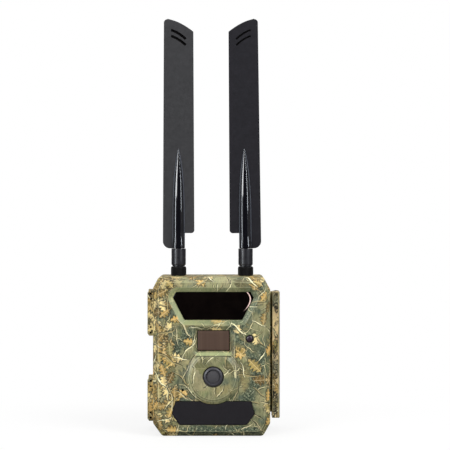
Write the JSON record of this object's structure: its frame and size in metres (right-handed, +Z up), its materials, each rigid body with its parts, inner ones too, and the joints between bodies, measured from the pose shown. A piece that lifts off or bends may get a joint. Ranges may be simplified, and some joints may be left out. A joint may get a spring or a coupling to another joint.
{
  "type": "trail camera",
  "caption": "Clamshell trail camera with a leaf-print case, infrared and motion windows, a round lens boss, a tall side latch and hinged blade antennas that swivel and tilt.",
  "frame": {"origin": "under the middle of the case, on the surface that the case stands on", "axes": "+Z up along the antennas, -Y the way the lens faces, +X to the right of someone facing the lens"},
  "size_m": [0.1222, 0.072, 0.38],
  "materials": {
    "camo_shell": "moulded plastic with a woodland leaf print under a satin coat",
    "camo_latch": "moulded plastic with a browner leaf print",
    "window_black": "polished infrared-pass acrylic",
    "pir_brown": "satin brown Fresnel sheet",
    "panel_charcoal": "fine matte moulded trim",
    "antenna_black": "fine matte moulded plastic",
    "gloss_black": "polished moulded plastic",
    "lens_grey": "coated optical glass over a dark barrel",
    "sensor_dome": "tinted sensor dome",
    "seal_rubber": "soft matte rubber",
    "steel": "plated steel",
    "brass": "machined brass",
    "circuit_board": "glass-epoxy board with green solder mask",
    "chassis_grey": "dark grey moulded plastic",
    "key_rubber": "grey silicone rubber",
    "card_plastic": "moulded card plastic",
    "cell_wrap": "shrink-wrapped dry cell",
    "display_glass": "dark display behind a clear cover"
  },
  "bodies": {
    "rear_case": {"rear_cover": "camo_shell", "rear_gasket": "seal_rubber", "hinge_pin_upper": "steel", "hinge_pin_lower": "steel", "latch_pin": "steel", "tripod_insert": "brass", "strap_bridge_left": "camo_shell", "strap_bridge_right": "camo_shell"},
    "front_unit": {"front_housing": "camo_shell", "ir_window": "window_black", "ir_led_board": "circuit_board", "pir_window": "pir_brown", "pir_sensor": "steel", "lens_bezel": "gloss_black", "lens_glass": "lens_grey", "lens_barrel": "gloss_black", "camera_board": "circuit_board", "light_sensor": "sensor_dome", "microphone": "steel", "lower_panel": "panel_charcoal", "main_board": "circuit_board", "modem_module": "steel", "chassis_plate": "chassis_grey", "lcd_module": "display_glass", "battery_tray": "chassis_grey", "battery_contacts": "steel", "sd_socket": "steel", "dc_jack": "gloss_black", "sma_socket_left": "brass", "sma_socket_right": "brass", "battery_cell_front_1": "cell_wrap", "battery_cell_front_2": "cell_wrap", "battery_cell_front_3": "cell_wrap", "battery_cell_front_4": "cell_wrap", "battery_cell_rear_1": "cell_wrap", "battery_cell_rear_2": "cell_wrap", "battery_cell_rear_3": "cell_wrap", "battery_cell_rear_4": "cell_wrap"},
    "latch": {"latch_lever": "camo_latch"},
    "power_switch": {"power_switch": "key_rubber"},
    "sd_card": {"sd_card": "card_plastic"},
    "sim_card": {"sim_card": "card_plastic"},
    "battery_door": {"battery_door": "chassis_grey"},
    "dc_plug": {"dc_plug": "seal_rubber"},
    "key_up": {"key_up": "key_rubber"},
    "key_down": {"key_down": "key_rubber"},
    "key_left": {"key_left": "key_rubber"},
    "key_right": {"key_right": "key_rubber"},
    "key_ok": {"key_ok": "key_rubber"},
    "key_menu": {"key_menu": "key_rubber"},
    "nut_left": {"antenna_nut_left": "antenna_black"},
    "collar_left": {"antenna_collar_left": "antenna_black", "elbow_pin_left": "steel"},
    "antenna_left": {"antenna_spine_left": "gloss_black", "antenna_blade_left": "antenna_black"},
    "nut_right": {"antenna_nut_right": "antenna_black"},
    "collar_right": {"antenna_collar_right": "antenna_black", "elbow_pin_right": "steel"},
    "antenna_right": {"antenna_spine_right": "gloss_black", "antenna_blade_right": "antenna_black"}
  },
  "joints": [
    {"name": "case_hinge", "type": "hinge", "parent": "rear_case", "child": "front_unit", "pos_m": [-0.0584, 0.018, 0.072], "axis": [0, 0, -1], "range_deg": [0, 110]},
    {"name": "latch_hinge", "type": "hinge", "parent": "rear_case", "child": "latch", "pos_m": [0.0573, 0.027, 0.074], "axis": [0, 0, 1], "range_deg": [0, 100]},
    {"name": "key_up_press", "type": "slide", "parent": "front_unit", "child": "key_up", "axis": [0, -1, 0], "range_m": [0, 0.0006], "stiffness_N_per_m": 1500},
    {"name": "key_down_press", "type": "slide", "parent": "front_unit", "child": "key_down", "axis": [0, -1, 0], "range_m": [0, 0.0006], "stiffness_N_per_m": 1500},
    {"name": "key_left_press", "type": "slide", "parent": "front_unit", "child": "key_left", "axis": [0, -1, 0], "range_m": [0, 0.0006], "stiffness_N_per_m": 1500},
    {"name": "key_right_press", "type": "slide", "parent": "front_unit", "child": "key_right", "axis": [0, -1, 0], "range_m": [0, 0.0006], "stiffness_N_per_m": 1500},
    {"name": "key_ok_press", "type": "slide", "parent": "front_unit", "child": "key_ok", "axis": [0, -1, 0], "range_m": [0, 0.0006], "stiffness_N_per_m": 1500},
    {"name": "key_menu_press", "type": "slide", "parent": "front_unit", "child": "key_menu", "axis": [0, -1, 0], "range_m": [0, 0.0006], "stiffness_N_per_m": 1500},
    {"name": "power_switch_slide", "type": "slide", "parent": "front_unit", "child": "power_switch", "axis": [1, 0, 0], "range_m": [0, 0.008]},
    {"name": "sd_card_slide", "type": "slide", "parent": "front_unit", "child": "sd_card", "axis": [0, 1, 0], "range_m": [0, 0.008]},
    {"name": "sim_card_slide", "type": "slide", "parent": "front_unit", "child": "sim_card", "axis": [0, 1, 0], "range_m": [0, 0.008]},
    {"name": "battery_door_lift", "type": "slide", "parent": "front_unit", "child": "battery_door", "axis": [0, 1, 0], "range_m": [0, 0.008]},
    {"name": "dc_plug_pull", "type": "slide", "parent": "front_unit", "child": "dc_plug", "axis": [0, 0, -1], "range_m": [0, 0.01]},
    {"name": "nut_left_turn", "type": "hinge", "parent": "front_unit", "child": "nut_left", "pos_m": [-0.0321, -0.006, 0.149], "axis": [0, 0, 1], "continuous": true},
    {"name": "antenna_left_swivel", "type": "hinge", "parent": "front_unit", "child": "collar_left", "pos_m": [-0.0321, -0.006, 0.155], "axis": [0, 0, 1], "range_deg": [0, 180]},
    {"name": "antenna_left_tilt", "type": "hinge", "parent": "collar_left", "child": "antenna_left", "pos_m": [-0.0321, -0.006, 0.1605], "axis": [-1, 0, 0], "range_deg": [0, 90]},
    {"name": "nut_right_turn", "type": "hinge", "parent": "front_unit", "child": "nut_right", "pos_m": [0.0294, -0.006, 0.149], "axis": [0, 0, 1], "continuous": true},
    {"name": "antenna_right_swivel", "type": "hinge", "parent": "front_unit", "child": "collar_right", "pos_m": [0.0294, -0.006, 0.155], "axis": [0, 0, 1], "range_deg": [-180, 0]},
    {"name": "antenna_right_tilt", "type": "hinge", "parent": "collar_right", "child": "antenna_right", "pos_m": [0.0294, -0.006, 0.1605], "axis": [-1, 0, 0], "range_deg": [0, 90]}
  ]
}
